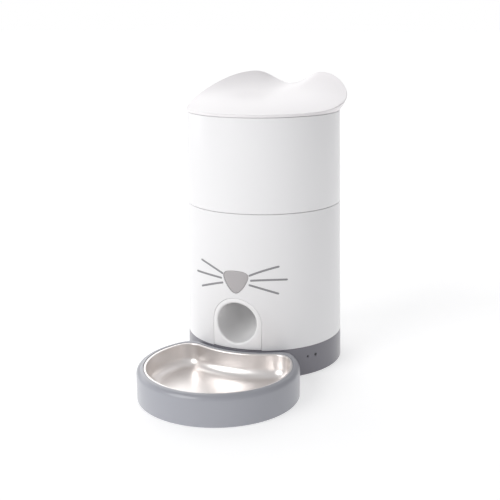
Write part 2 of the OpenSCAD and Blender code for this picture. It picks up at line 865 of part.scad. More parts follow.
module food_dish() color("silver") on_axis() {
    difference() {
        for (s = dish_steps) tray_slab(dish_z + s[1], rim_z + steel, dish_in + s[0], dish_corner);
        for (s = dish_steps)
            tray_slab(dish_z + steel + s[1], rim_z + 5, dish_in + steel + s[0], dish_corner);
    }
    difference() {
        tray_slab(rim_z, rim_z + steel, rim_in, dish_corner);
        tray_slab(rim_z - 1, rim_z + 5, dish_in + steel / 2, dish_corner);
    }
}

base_shell();
floor_plate();
base_feet();
floor_screws();
battery_box();
battery_cells();
battery_contacts();
battery_door();
power_socket();
status_lens();
reset_button();
indicator_board();
body_shell();
whiskers();
chute_panel();
chute_scoop();
drop_tube();
food_sensor();
nose_button();
nose_board();
nose_switch();
metering_cup();
deck_screws();
shaft_bush();
cup_cover();
portion_wheel();
drive_shaft();
agitator();
output_gear();
slotted_disc();
slot_sensor();
idler_gear();
idler_axle();
motor_pinion();
motor_shaft();
gear_motor();
gearbox_case();
gearbox_screws();
main_board();
board_bracket();
wireless_module();
buzzer();
upper_shell();
hopper_tank();
mouth_seal();
ear_lid();
lid_plug();
lid_seal();
desiccant_box();
desiccant_pack();
desiccant_cap();
bowl_tray();
tray_feet();
food_dish();
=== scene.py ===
# %% [markdown]
# # An automatic pet feeder
# The feeder is a tapered white column with a cat-ear lid, a nose button with whiskers, a round
# food mouth, a grey base and a steel dish in a docked tray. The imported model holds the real
# sizes and every moving part. This lesson builds the outer pieces as clean meshes around it,
# gives each material its own finish, and lights the feeder as in a bright studio.

# %% Load the frame
import json
import math

import bmesh
import bpy
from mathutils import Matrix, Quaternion, Vector


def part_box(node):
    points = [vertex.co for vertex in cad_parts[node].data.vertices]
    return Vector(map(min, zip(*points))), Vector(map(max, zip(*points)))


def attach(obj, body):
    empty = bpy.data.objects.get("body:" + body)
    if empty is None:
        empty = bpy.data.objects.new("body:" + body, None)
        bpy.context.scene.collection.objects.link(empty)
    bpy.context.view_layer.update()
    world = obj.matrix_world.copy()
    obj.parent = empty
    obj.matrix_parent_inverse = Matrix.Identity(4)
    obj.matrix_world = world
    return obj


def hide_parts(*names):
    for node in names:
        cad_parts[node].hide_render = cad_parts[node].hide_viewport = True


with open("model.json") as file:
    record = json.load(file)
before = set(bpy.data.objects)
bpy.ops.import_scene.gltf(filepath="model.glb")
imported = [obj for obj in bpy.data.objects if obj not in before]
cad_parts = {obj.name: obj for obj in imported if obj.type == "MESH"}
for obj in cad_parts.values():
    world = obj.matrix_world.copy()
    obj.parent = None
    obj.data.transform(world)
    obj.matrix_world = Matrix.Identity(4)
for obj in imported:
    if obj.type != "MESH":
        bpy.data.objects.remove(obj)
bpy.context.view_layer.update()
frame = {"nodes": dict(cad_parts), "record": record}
nodes = frame["nodes"]
MM = 0.001

# %% [markdown]
# ## Driving sizes
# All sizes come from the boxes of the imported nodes, so a piece goes where the design says. The
# column is a cone: two of its widths, at two known heights, give its radius at any height.

# %% Sizes read from the frame
body_low, body_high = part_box("body_shell")
tray_low, tray_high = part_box("bowl_tray")
dish_low, dish_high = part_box("food_dish")
base_low, base_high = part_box("base_shell")

FLOOR_EDGE = base_low.z
BASE_TOP = body_low.z
SPLIT = body_high.z
UPPER_FOOT = SPLIT + 0.5 * MM
LID_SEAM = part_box("upper_shell")[1].z
LID_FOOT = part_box("ear_lid")[0].z
AXIS_Y = (body_low.y + body_high.y) / 2
RADIUS_LOW = (body_high.x - body_low.x) / 2
RADIUS_FLOOR = (base_high.x - base_low.x) / 2
TAPER = (RADIUS_FLOOR - RADIUS_LOW) / (BASE_TOP - FLOOR_EDGE)
WALL = 2.5 * MM
GAP = 0.35 * MM
SIDES = 192


def column_radius(z):
    """Outer radius of the column at height z."""
    return RADIUS_LOW - TAPER * (z - BASE_TOP)


print("axis y", round(AXIS_Y, 4), "top radius", round(column_radius(LID_SEAM), 4))

# %% [markdown]
# ## The camera
# A short portrait lens stands to the right of the front and a little above the lid, so that the
# feeder shows its face, the top of the lid and the inside of the dish at once.

# %% Camera
CAMERA_AT = Vector((401.2 * MM, -1047.6 * MM + AXIS_Y, 419.6 * MM))
LOOKS_AT = Vector((-16.24 * MM, -6.51 * MM + AXIS_Y, 131.8 * MM))
CAMERA_ROLL = math.radians(-0.58)

bpy.ops.object.camera_add(location=CAMERA_AT)
camera = bpy.context.active_object
camera.name = "studio_camera"
camera.data.lens = 68.1
camera.data.sensor_width = 36
camera.rotation_mode = "QUATERNION"
aim = (LOOKS_AT - CAMERA_AT).to_track_quat("-Z", "Y")
camera.rotation_quaternion = aim @ Quaternion((0, 0, 1), CAMERA_ROLL)
bpy.context.scene.camera = camera

# %% [markdown]
# ## Shared finishes
# Moulded plastic is never perfectly even: the tool leaves a very fine texture, and the surface
# waves slightly where the wall cools. One node group makes that height, and a second one makes
# slow patches that change a colour and a roughness a little. Both read Object coordinates, so
# the pattern keeps its real scale on every piece.

# %% Node helpers


def new_group(name, inputs, outputs):
    """A shader node group with named sockets: (name, kind, default) in, (name, kind) out."""
    group = bpy.data.node_groups.new(name, "ShaderNodeTree")
    for label, kind, default in inputs:
        socket = group.interface.new_socket(label, in_out="INPUT", socket_type=kind)
        socket.default_value = default
    for label, kind in outputs:
        group.interface.new_socket(label, in_out="OUTPUT", socket_type=kind)
    entry = group.nodes.new("NodeGroupInput")
    leave = group.nodes.new("NodeGroupOutput")
    return group, entry, leave


def add(tree, kind, **settings):
    """A node with its settings; a setting named after a socket sets that socket."""
    node = tree.nodes.new(kind)
    for key, value in settings.items():
        label = key.replace("_", " ").title()
        if hasattr(node, key):
            setattr(node, key, value)
        else:
            node.inputs[label].default_value = value
    return node


FLOAT, COLOUR = "NodeSocketFloat", "NodeSocketColor"

# %% Group: moulded skin


def build_moulded_skin():
    group, entry, leave = new_group(
        "Moulded skin",
        [("Grain Scale", FLOAT, 1800), ("Wave Scale", FLOAT, 22), ("Wave", FLOAT, 0.35)],
        [("Height", FLOAT)],
    )
    link = group.links.new
    where = add(group, "ShaderNodeTexCoord")
    grain = add(group, "ShaderNodeTexNoise", detail=3.0, roughness=0.6)
    wave = add(group, "ShaderNodeTexNoise", detail=1.0, roughness=0.4)
    mix = add(group, "ShaderNodeMath", operation="MULTIPLY_ADD")
    for texture, scale in ((grain, "Grain Scale"), (wave, "Wave Scale")):
        link(where.outputs["Object"], texture.inputs["Vector"])
        link(entry.outputs[scale], texture.inputs["Scale"])
    link(wave.outputs["Fac"], mix.inputs[0])
    link(entry.outputs["Wave"], mix.inputs[1])
    link(grain.outputs["Fac"], mix.inputs[2])
    link(mix.outputs[0], leave.inputs["Height"])
    return group


def build_slow_patches():
    group, entry, leave = new_group(
        "Slow patches",
        [
            ("Colour A", COLOUR, (0.8, 0.8, 0.8, 1)),
            ("Colour B", COLOUR, (0.7, 0.7, 0.7, 1)),
            ("Rough A", FLOAT, 0.3),
            ("Rough B", FLOAT, 0.4),
            ("Scale", FLOAT, 14),
        ],
        [("Colour", COLOUR), ("Roughness", FLOAT)],
    )
    link = group.links.new
    where = add(group, "ShaderNodeTexCoord")
    cloud = add(group, "ShaderNodeTexNoise", detail=1.5, roughness=0.4)
    even = add(group, "ShaderNodeMapRange", interpolation_type="SMOOTHERSTEP")
    even.inputs["From Min"].default_value = 0.15
    even.inputs["From Max"].default_value = 0.85
    tint = add(group, "ShaderNodeMix", data_type="RGBA")
    rough = add(group, "ShaderNodeMix", data_type="FLOAT")
    link(where.outputs["Object"], cloud.inputs["Vector"])
    link(entry.outputs["Scale"], cloud.inputs["Scale"])
    link(cloud.outputs["Fac"], even.inputs["Value"])
    for mix in (tint, rough):
        link(even.outputs["Result"], mix.inputs["Factor"])
    link(entry.outputs["Colour A"], tint.inputs["A"])
    link(entry.outputs["Colour B"], tint.inputs["B"])
    link(entry.outputs["Rough A"], rough.inputs["A"])
    link(entry.outputs["Rough B"], rough.inputs["B"])
    link(tint.outputs["Result"], leave.inputs["Colour"])
    link(rough.outputs["Result"], leave.inputs["Roughness"])
    return group


MOULDED_SKIN = build_moulded_skin()
SLOW_PATCHES = build_slow_patches()
print("groups", [g.name for g in bpy.data.node_groups])

# %% [markdown]
# ### Plastics and rubbers
# Every plastic uses the same recipe with its own numbers: a colour with a slightly different
# partner, a roughness that drifts as little as the colour does, and a depth for the skin.
# Gloss parts get a thin clear coat, which gives the crisp streaks of light that a polished
# mould leaves.

# %% Material recipe


def shift(colour, amount):
    """The same colour, a little lighter or darker."""
    return tuple(min(1, max(0, channel * (1 + amount))) for channel in colour) + (1,)


SKIN_DEPTH = 0.4 * MM
PATCH_SCALE = 14
WAVE_SHARE = 0.35


def finish_material(name, colour, rough, grain=0.02, spread=0.02, grain_scale=1800):
    """Base material: slow patches in colour and roughness, and the skin as a fine bump."""
    material = bpy.data.materials.new(name)
    material.use_nodes = True
    tree = material.node_tree
    shader = tree.nodes["Principled BSDF"]
    patches = add(tree, "ShaderNodeGroup", node_tree=SLOW_PATCHES)
    patches.inputs["Colour A"].default_value = shift(colour, spread)
    patches.inputs["Colour B"].default_value = shift(colour, -spread)
    patches.inputs["Rough A"].default_value = rough
    patches.inputs["Rough B"].default_value = rough * (1 + spread)
    patches.inputs["Scale"].default_value = PATCH_SCALE
    skin = add(tree, "ShaderNodeGroup", node_tree=MOULDED_SKIN)
    skin.inputs["Grain Scale"].default_value = grain_scale
    skin.inputs["Wave"].default_value = WAVE_SHARE
    bump = add(tree, "ShaderNodeBump")
    bump.inputs["Strength"].default_value = grain
    bump.inputs["Distance"].default_value = SKIN_DEPTH
    tree.links.new(patches.outputs["Colour"], shader.inputs["Base Color"])
    tree.links.new(patches.outputs["Roughness"], shader.inputs["Roughness"])
    tree.links.new(skin.outputs["Height"], bump.inputs["Height"])
    tree.links.new(bump.outputs["Normal"], shader.inputs["Normal"])
    return material, shader


def plastic(name, colour, rough, coat=0.0, **grain):
    material, shader = finish_material(name, colour, rough, **grain)
    shader.inputs["Coat Weight"].default_value = coat
    shader.inputs["Coat Roughness"].default_value = 0.12
    shader.inputs["IOR"].default_value = 1.48
    return material


def metal(name, colour, rough, **grain):
    material, shader = finish_material(name, colour, rough, **grain)
    shader.inputs["Metallic"].default_value = 1.0
    return material


FINISHES = {
    "gloss_white": plastic(
        "gloss_white", (0.89, 0.885, 0.89), 0.3, coat=0.25, grain=0.03, spread=0.003
    ),
    # The chute's white is painted lighter than gloss_white: painted light that brightens the
    # shaded inside of the mouth on the panel and the scoop.
    "chute_white_painted_light": plastic(
        "chute_white_painted_light", (0.97, 0.965, 0.965), 0.35, coat=0.2, grain=0.03, spread=0.002
    ),
    "lid_white": plastic(
        "lid_white", (0.90, 0.875, 0.882), 0.36, coat=0.12, grain=0.03, spread=0.003
    ),
    "base_grey": plastic(
        "base_grey", (0.205, 0.2, 0.228), 0.3, coat=0.3, grain=0.06, spread=0.02
    ),
    "tray_blue_grey": plastic(
        "tray_blue_grey", (0.38, 0.387, 0.425), 0.28, coat=0.35, grain=0.06, spread=0.02
    ),
    "nose_grey": plastic("nose_grey", (0.475, 0.455, 0.46), 0.45, grain=0.12, spread=0.03),
    "whisker_grey": plastic("whisker_grey", (0.30, 0.30, 0.31), 0.5, grain=0.1, spread=0.05),
    "inner_white": plastic("inner_white", (0.78, 0.79, 0.80), 0.45, grain=0.1, spread=0.02),
    "tank_clear": plastic(
        "tank_clear", (0.66, 0.70, 0.74), 0.25, coat=0.3, grain=0.04, spread=0.02
    ),
    "wheel_blue": plastic("wheel_blue", (0.22, 0.38, 0.48), 0.4, grain=0.1, spread=0.03),
    "soft_blue": plastic("soft_blue", (0.32, 0.50, 0.58), 0.6, grain=0.2, spread=0.04),
    "seal_grey": plastic("seal_grey", (0.17, 0.2, 0.23), 0.65, grain=0.2, spread=0.05),
    "gear_ivory": plastic("gear_ivory", (0.78, 0.73, 0.62), 0.4, grain=0.08, spread=0.03),
    "dark_plastic": plastic("dark_plastic", (0.03, 0.03, 0.035), 0.4, grain=0.15, spread=0.1),
    "rubber_black": plastic("rubber_black", (0.025, 0.025, 0.028), 0.75, grain=0.3, spread=0.1),
    "board_green": plastic(
        "board_green", (0.03, 0.16, 0.07), 0.3, coat=0.5, grain=0.1, spread=0.15
    ),
    "cell_wrap": plastic(
        "cell_wrap", (0.3, 0.32, 0.35), 0.3, coat=0.5, grain=0.05, spread=0.05
    ),
    "pack_paper": plastic(
        "pack_paper", (0.85, 0.82, 0.74), 0.9, grain=0.6, spread=0.05, grain_scale=900
    ),
    "zinc": metal("zinc", (0.62, 0.63, 0.66), 0.32, grain=0.1, spread=0.06),
    "bronze": metal("bronze", (0.55, 0.40, 0.22), 0.45, grain=0.2, spread=0.08),
    "brass": metal("brass", (0.72, 0.55, 0.27), 0.3, grain=0.1, spread=0.05),
    "motor_steel": metal("motor_steel", (0.48, 0.50, 0.53), 0.35, grain=0.08, spread=0.06),
}

# %% [markdown]
# ### The steel of the dish
# Drawn sheet steel is brushed before it is pressed, so its highlight is broad and slightly
# streaky. The streaks are a noise that is stretched along X, and they move both the roughness
# and a very shallow bump.

# %% Brushed steel


def brushed_steel():
    material = bpy.data.materials.new("steel")
    material.use_nodes = True
    tree = material.node_tree
    link = tree.links.new
    shader = tree.nodes["Principled BSDF"]
    shader.inputs["Metallic"].default_value = 1.0
    where = add(tree, "ShaderNodeTexCoord")
    stretch = add(tree, "ShaderNodeMapping")
    stretch.inputs["Scale"].default_value = (40, 1400, 1400)
    streaks = add(tree, "ShaderNodeTexNoise", scale=1.0, detail=4.0, roughness=0.6)
    rough = add(tree, "ShaderNodeMapRange")
    rough.inputs["To Min"].default_value = 0.27
    rough.inputs["To Max"].default_value = 0.4
    patches = add(tree, "ShaderNodeGroup", node_tree=SLOW_PATCHES)
    patches.inputs["Colour A"].default_value = (0.84, 0.805, 0.785, 1)
    patches.inputs["Colour B"].default_value = (0.78, 0.75, 0.735, 1)
    bump = add(tree, "ShaderNodeBump")
    bump.inputs["Strength"].default_value = 0.06
    bump.inputs["Distance"].default_value = 0.1 * MM
    link(where.outputs["Object"], stretch.inputs["Vector"])
    link(stretch.outputs["Vector"], streaks.inputs["Vector"])
    link(streaks.outputs["Fac"], rough.inputs["Value"])
    link(rough.outputs["Result"], shader.inputs["Roughness"])
    link(patches.outputs["Colour"], shader.inputs["Base Color"])
    link(streaks.outputs["Fac"], bump.inputs["Height"])
    link(bump.outputs["Normal"], shader.inputs["Normal"])
    return material


FINISHES["steel"] = brushed_steel()
print(len(FINISHES), "finishes")

# %% [markdown]
# ### Finishes for the pieces that come from the design
# Gears, boards, screws and the other inner parts keep their own meshes. Each one takes the
# finish that the record names for it.

# %% Dress the CAD nodes
slot_of = {part["node"]: part["material_slot"] for part in frame["record"]["subparts"]}
for name, piece in nodes.items():
    piece.data.materials.clear()
    piece.data.materials.append(FINISHES[slot_of[name]])
print(len(nodes), "nodes dressed")

# %% [markdown]
# ## Modelling helper: one loft for every shell
# Nearly every outer piece is a closed skin of rings: a ring of points is added as a circle,
# extruded again and again, and each new ring is moved to its place. That keeps all faces as
# clean quads that follow the shape. Each point carries its number round the ring in a small
# layer, so the extrude operator may order the points as it likes.

# %% Selecting


def select_only(piece):
    bpy.ops.object.select_all(action="DESELECT")
    piece.select_set(True)
    bpy.context.view_layer.objects.active = piece


def start_edit(piece, kind="VERT"):
    select_only(piece)
    bpy.ops.object.mode_set(mode="EDIT")
    bpy.ops.mesh.select_mode(type=kind)


def stop_edit():
    bpy.ops.object.mode_set(mode="OBJECT")


# %% The loft


def place_ring(piece, ring):
    """Moves the selected points to their numbered places in the ring."""
    mesh = bmesh.from_edit_mesh(piece.data)
    number = mesh.verts.layers.int["ring_number"]
    for vert in mesh.verts:
        if vert.select:
            vert.co = ring[vert[number]]
    bmesh.update_edit_mesh(piece.data)


def loft(name, rings, cap_first=False, cap_last=False):
    """A mesh of rings with equal numbers of points. A ring may be one point repeated, which
    closes that end, and a cap closes an end with one flat face."""
    bpy.ops.object.select_all(action="DESELECT")
    bpy.ops.mesh.primitive_circle_add(vertices=len(rings[0]), radius=1.0, location=(0, 0, 0))
    piece = bpy.context.active_object
    piece.name = piece.data.name = name
    layer = piece.data.attributes.new("ring_number", "INT", "POINT")
    layer.data.foreach_set("value", list(range(len(rings[0]))))
    start_edit(piece)
    bpy.ops.mesh.select_all(action="SELECT")
    place_ring(piece, rings[0])
    if cap_first:
        bpy.ops.mesh.edge_face_add()
    for ring in rings[1:]:
        if cap_first and ring is rings[1]:
            bpy.ops.mesh.select_all(action="SELECT")
        bpy.ops.mesh.extrude_edges_move()
        place_ring(piece, ring)
    if cap_last:
        bpy.ops.mesh.edge_face_add()
    bpy.ops.mesh.select_all(action="SELECT")
    bpy.ops.mesh.remove_doubles(threshold=0.005 * MM)
    bpy.ops.mesh.normals_make_consistent(inside=False)
    stop_edit()
    piece.data.attributes.remove(piece.data.attributes["ring_number"])
    return piece


# %% Rounded profiles


def rounded(corners, closed=False):
    """A line through (a, b, radius) corners, each rounded by an arc of its radius."""
    line = []
    count = len(corners)
    for i, (a, b, radius) in enumerate(corners):
        here = Vector((a, b))
        if radius <= 0 or (not closed and i in (0, count - 1)):
            line.append((a, b))
            continue
        before = (Vector(corners[i - 1][:2]) - here).normalized()
        after = (Vector(corners[(i + 1) % count][:2]) - here).normalized()
        half = before.angle(after) / 2
        if math.pi / 2 - half < 0.01:
            line.append((a, b))
            continue
        reach = radius / math.tan(half)
        middle = here + (before + after).normalized() * (radius / math.sin(half))
        first = here + before * reach - middle
        sweep = math.pi - 2 * half
        turn = 1 if before.x * after.y - before.y * after.x < 0 else -1
        steps = max(2, round(sweep / math.radians(15)))
        for k in range(steps + 1):
            angle = turn * sweep * k / steps
            spoke = Vector(
                (
                    first.x * math.cos(angle) - first.y * math.sin(angle),
                    first.x * math.sin(angle) + first.y * math.cos(angle),
                )
            )
            line.append(tuple(middle + spoke))
    return line


def revolve(name, profile, centre=(0, AXIS_Y), sides=SIDES, closed=True):
    """A round piece: a rounded profile of (radius, height, corner radius) turned about an axis."""
    line = rounded(profile, closed)
    if closed:
        line = line + line[:1]
    turns = [2 * math.pi * k / sides for k in range(sides)]
    rings = [
        [(centre[0] + r * math.cos(t), centre[1] + r * math.sin(t), z) for t in turns]
        for r, z in line
    ]
    return loft(name, rings)


# %% Modifiers, booleans and hand-over


def use_modifier(piece, kind, **settings):
    select_only(piece)
    modifier = piece.modifiers.new(kind.title(), kind)
    for key, value in settings.items():
        setattr(modifier, key, value)
    bpy.ops.object.modifier_apply(modifier=modifier.name)


def cut(piece, *tools, operation="DIFFERENCE"):
    """Cuts each tool out of the piece, and removes the tool."""
    for tool in tools:
        use_modifier(piece, "BOOLEAN", object=tool, operation=operation, solver="EXACT")
        bpy.data.objects.remove(tool)


def hand_over(piece, body, finish, *replaced, smooth=32):
    """Gives a finished piece its shading, finish and body, and hides what it stands for."""
    select_only(piece)
    bpy.ops.object.transform_apply(location=True, rotation=True, scale=True)
    bpy.ops.object.shade_smooth_by_angle(angle=math.radians(smooth))
    piece.data.materials.clear()
    piece.data.materials.append(FINISHES[finish])
    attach(piece, body)
    if replaced:
        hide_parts(*replaced)
    print(piece.name, len(piece.data.polygons), "faces")
    return piece


# %% [markdown]
# ## The white shells
# Each shell is a tapered tube with a 2.5 mm wall. The profile is drawn once with softened
# corners and turned about the column's axis. The upper shell has a thin lip that drops inside
# the lower one, and the small step between them is the fine line round the column.

# %% Upper shell
lip = column_radius(SPLIT) - WALL - 2 * GAP
upper_shell = revolve(
    "white_upper_shell",
    [
        (column_radius(UPPER_FOOT), UPPER_FOOT, 0.5 * MM),
        (column_radius(LID_SEAM), LID_SEAM, 0.8 * MM),
        (column_radius(LID_SEAM) - WALL, LID_SEAM, 0.6 * MM),
        (column_radius(UPPER_FOOT) - WALL, UPPER_FOOT + 4 * MM, 0.5 * MM),
        (lip - 2 * MM, UPPER_FOOT + 2 * MM, 0),
        (lip - 2 * MM, SPLIT - 5 * MM, 0.4 * MM),
        (lip, SPLIT - 5 * MM, 0.6 * MM),
        (lip, UPPER_FOOT, 0),
    ],
)
hand_over(upper_shell, "hopper", "gloss_white", "upper_shell")

# %% [markdown]
# ## The front: mouth, chute panel and nose
# Openings in the lower shell are cut with tools that are pushed straight in from the front,
# the way the mould's sliders do it.

# %% Front outlines
MOUTH_Z = 67 * MM
MOUTH_R = 24 * MM
ARCH_R = 30 * MM
FOOT_GAP = 0.8 * MM
NOSE_Z = 119 * MM
NOSE_WAVE = (14.6 * MM, 13.1 * MM)
NOSE_CORNER = (2.1 * MM, 1.9 * MM)
NOSE_SHIFT = -1 * MM


def front_y(x, z, depth=0.0):
    """How far forward the column's face is at x and z, and depth behind it."""
    return AXIS_Y - math.sqrt((column_radius(z) - depth) ** 2 - x * x)


def on_front(points, depth=0.0):
    """Lays (x, z) points of a front elevation on the column's face."""
    return [(x, front_y(x, z, depth), z) for x, z in points]


def nose_outline(inset=0.0, count=96):
    """The nose: one wave round a circle, and a second one that draws out three corners."""
    points = []
    for k in range(count):
        t = 2 * math.pi * k / count
        x = NOSE_WAVE[0] * math.sin(t) - NOSE_CORNER[0] * math.sin(2 * t)
        z = NOSE_SHIFT - NOSE_WAVE[1] * math.cos(t) - NOSE_CORNER[1] * math.cos(2 * t)
        run = NOSE_WAVE[0] * math.cos(t) - 2 * NOSE_CORNER[0] * math.cos(2 * t)
        rise = NOSE_WAVE[1] * math.sin(t) + 2 * NOSE_CORNER[1] * math.sin(2 * t)
        out = Vector((rise, -run)).normalized() * inset
        points.append((x - out.x, NOSE_Z + z - out.y))
    return points


def arch_outline(inset=0.0, count=96, foot=BASE_TOP + FOOT_GAP):
    """The chute panel's outline: an arch on straight sides, by direction from the mouth."""
    half = ARCH_R - inset
    drop = MOUTH_Z - foot - (inset - GAP)
    corner = math.atan2(-drop, half)
    points = []
    for k in range(count):
        angle = 2 * math.pi * k / count - math.pi / 2
        across, up = math.cos(angle), math.sin(angle)
        reach = half if up >= 0 else min(half / max(abs(across), 1e-6), drop / -up)
        near = abs(abs(math.atan2(up, abs(across))) + corner)
        if up < 0 and near < math.pi / count:
            points.append((math.copysign(half, across), MOUTH_Z - drop))
        else:
            points.append((reach * across, MOUTH_Z + reach * up))
    return points


def front_tool(name, outline):
    """A cutter with a front outline, from well in front of the face to behind the wall."""
    near, far = AXIS_Y - RADIUS_FLOOR - 10 * MM, AXIS_Y - 40 * MM
    rings = [[(x, near, z) for x, z in outline], [(x, far, z) for x, z in outline]]
    return loft(name, rings, cap_first=True, cap_last=True)


# %% Lower shell
lower_shell = revolve(
    "white_lower_shell",
    [
        (column_radius(BASE_TOP), BASE_TOP, 0.4 * MM),
        (column_radius(SPLIT), SPLIT, 0.6 * MM),
        (column_radius(SPLIT) - WALL, SPLIT, 0.5 * MM),
        (column_radius(BASE_TOP) - WALL, BASE_TOP, 0.4 * MM),
    ],
)
cut(
    lower_shell,
    front_tool("arch_tool", arch_outline(foot=BASE_TOP - 5 * MM)),
    front_tool("nose_tool", nose_outline(-GAP)),
)
hand_over(lower_shell, "housing", "gloss_white", "body_shell")

# %% [markdown]
# ## The chute panel and its mouth
# The panel is the washable part of the food path. Its mouth has a soft turned-in edge, so the
# rings run from inside the mouth, round that edge and out over the curved face to the arch,
# then round the panel's own edge and across the back.

# %% Chute panel


def circle_outline(radius, count=96):
    turns = [2 * math.pi * k / count - math.pi / 2 for k in range(count)]
    return [(radius * math.cos(t), MOUTH_Z + radius * math.sin(t)) for t in turns]


def between(inner, outer, part):
    return [
        (a[0] + (b[0] - a[0]) * part, a[1] + (b[1] - a[1]) * part)
        for a, b in zip(inner, outer, strict=True)
    ]


EDGE = 2.4 * MM
turned_edge = [
    on_front(circle_outline(MOUTH_R + EDGE * (1 - math.cos(t))), EDGE * (1 - math.sin(t)))
    for t in [math.radians(a) for a in (0, 15, 30, 45, 60, 75, 90)]
]
mouth_ring = circle_outline(MOUTH_R + EDGE)
panel_ring = arch_outline(GAP + 0.4 * MM)
face = [on_front(between(mouth_ring, panel_ring, part)) for part in (0.3, 0.65, 1.0)]
rim = [
    on_front(arch_outline(GAP + 0.12 * MM), 0.12 * MM),
    on_front(arch_outline(GAP), 0.4 * MM),
    on_front(arch_outline(GAP), WALL),
]
back = [on_front(between(mouth_ring, arch_outline(GAP), part), WALL) for part in (0.6, 0.2)]
back.append(on_front(circle_outline(MOUTH_R), WALL))
panel_rings = turned_edge + face + rim + back
chute_panel = loft("chute_panel_white", panel_rings + [panel_rings[0]])
# The panel's finish carries painted light: a whiter colour that brightens the mouth.
hand_over(chute_panel, "chute", "chute_white_painted_light", "chute_panel", smooth=40)

# %% Chute scoop
SCOOP_WALL = 2 * MM
TUBE_Y = AXIS_Y - 50 * MM
BEND = MOUTH_R + SCOOP_WALL + 1 * MM


def scoop_ring(radius, step, steps=18, count=96):
    """One ring of the passage; step 0 lies on the panel's back and the last one faces up."""
    ring = []
    for k in range(count):
        turn = 2 * math.pi * k / count - math.pi / 2
        across, up = radius * math.cos(turn), radius * math.sin(turn)
        if step == 0:
            ring.append((across, front_y(across, MOUTH_Z + up, WALL), MOUTH_Z + up))
            continue
        angle = math.pi / 2 * (step - 1) / (steps - 1)
        out = BEND - up
        ring.append(
            (across, TUBE_Y - BEND + out * math.sin(angle), MOUTH_Z + BEND - out * math.cos(angle))
        )
    return ring


inside = [scoop_ring(MOUTH_R, step) for step in range(19)]
outside = [scoop_ring(MOUTH_R + SCOOP_WALL, step) for step in range(18, -1, -1)]
chute_scoop = loft("chute_scoop_white", inside + outside + [inside[0]])
bpy.ops.object.select_all(action="DESELECT")
bpy.ops.mesh.primitive_cylinder_add(
    vertices=128,
    radius=ARCH_R - GAP,
    depth=RADIUS_FLOOR,
    location=(0, AXIS_Y - RADIUS_FLOOR / 2, MOUTH_Z),
    rotation=(math.pi / 2, 0, 0),
)
cut(chute_scoop, bpy.context.active_object, operation="INTERSECT")
# The scoop's finish carries painted light: a whiter colour that stands in for light inside the
# passage.
hand_over(chute_scoop, "chute", "chute_white_painted_light", "chute_scoop", smooth=40)

# %% [markdown]
# ## The nose button
# The cap is a soft triangle with a rounded edge and a slightly domed face that follows the
# column. A flange behind the shell holds it in, and a stem reaches back to the switch.

# %% Nose button
NOSE_SINK = 0.2 * MM
NOSE_BACK = AXIS_Y - 87.8 * MM
STEM_R = 3 * MM


def nose_ring(inset, depth):
    return on_front(nose_outline(inset), NOSE_SINK + depth)


def nose_shrunk(part, depth):
    middle = [(0, NOSE_Z)] * len(nose_outline())
    return on_front(between(middle, nose_outline(2.6 * MM), part), NOSE_SINK + depth)


nose_rings = [[(0, NOSE_BACK, NOSE_Z)] * len(nose_outline())]
nose_rings += [[(x, NOSE_BACK, z) for x, z in nose_outline()]]
nose_rings += [
    nose_ring(0.9 * MM * (1 - math.sin(t)), 0.9 * MM * (1 - math.cos(t)))
    for t in [math.radians(a) for a in (90, 67, 45, 22, 0)]
]
nose_rings += [nose_ring(1.8 * MM, -0.08 * MM), nose_ring(2.6 * MM, -0.12 * MM)]
nose_rings += [nose_shrunk(part, -0.2 * MM) for part in (0.7, 0.4, 0.15, 0)]
nose_cap = loft("nose_button_cap", nose_rings)
flange = [
    [(x, y, z) for x, z in nose_outline(-1.6 * MM)]
    for y in (NOSE_BACK - 0.5 * MM, NOSE_BACK + 1.5 * MM)
]
nose_flange = loft("nose_flange", flange, cap_first=True, cap_last=True)
stem_start = NOSE_BACK - 0.6 * MM
stem_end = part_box("nose_button")[1].y
bpy.ops.object.select_all(action="DESELECT")
bpy.ops.mesh.primitive_cylinder_add(
    vertices=48,
    radius=STEM_R,
    depth=stem_end - stem_start,
    location=(0, (stem_start + stem_end) / 2, NOSE_Z),
    rotation=(math.pi / 2, 0, 0),
)
cut(nose_cap, nose_flange, bpy.context.active_object, operation="UNION")
hand_over(nose_cap, "nose", "nose_grey", "nose_button", smooth=40)

# %% [markdown]
# ## Whiskers
# Six thin bars stand just proud of the shell. Each is a long round-ended outline that bows a
# little, laid on the column's face, with a softened edge.

# %% Whisker bars
WHISKER_HALF = 1.15 * MM
# Inner end and outer end as (across, height), and the bow, all in mm
WHISKERS = [
    ((16.8, 125.0), (47.4, 135.4), 0.8),
    ((18.4, 119.2), (55.5, 119.8), 0.7),
    ((16.8, 113.8), (47.2, 103.9), 0.5),
]


def whisker_outline(inner, outer, bow, half, steps=20, cap=8):
    """Round-ended outline about a line that bows by the given height."""
    start, end = Vector(inner) * MM, Vector(outer) * MM
    along = end - start
    side = Vector((-along.y, along.x)).normalized()
    heading = math.atan2(along.y, along.x)

    def spine(part):
        return start + along * part + side * (4 * bow * MM * part * (1 - part))

    top = [spine(k / steps) + side * half for k in range(steps + 1)]
    bottom = [spine(1 - k / steps) - side * half for k in range(steps + 1)]
    ends = []
    for centre, first in ((end, math.pi / 2), (start, -math.pi / 2)):
        turns = [heading + first - math.pi * k / cap for k in range(1, cap)]
        ends.append([centre + half * Vector((math.cos(t), math.sin(t))) for t in turns])
    return [tuple(p) for p in top + ends[0] + bottom + ends[1]]


def whisker_bar(side, inner, outer, bow):
    inner, outer = (side * inner[0], inner[1]), (side * outer[0], outer[1])
    steps = [(0, 0.1), (0, -0.15), (0.1, -0.25), (0.3, -0.3), (1.1, -0.32)]
    rings = [
        on_front(whisker_outline(inner, outer, side * bow, WHISKER_HALF - inset * MM), depth * MM)
        for inset, depth in steps
    ]
    return loft("whisker", rings, cap_first=True, cap_last=True)


bars = [whisker_bar(side, *whisker) for side in (-1, 1) for whisker in WHISKERS]
select_only(bars[0])
for bar in bars:
    bar.select_set(True)
bpy.ops.object.join()
bars[0].name = "whisker_bars"
hand_over(bars[0], "housing", "whisker_grey", "whiskers", smooth=50)

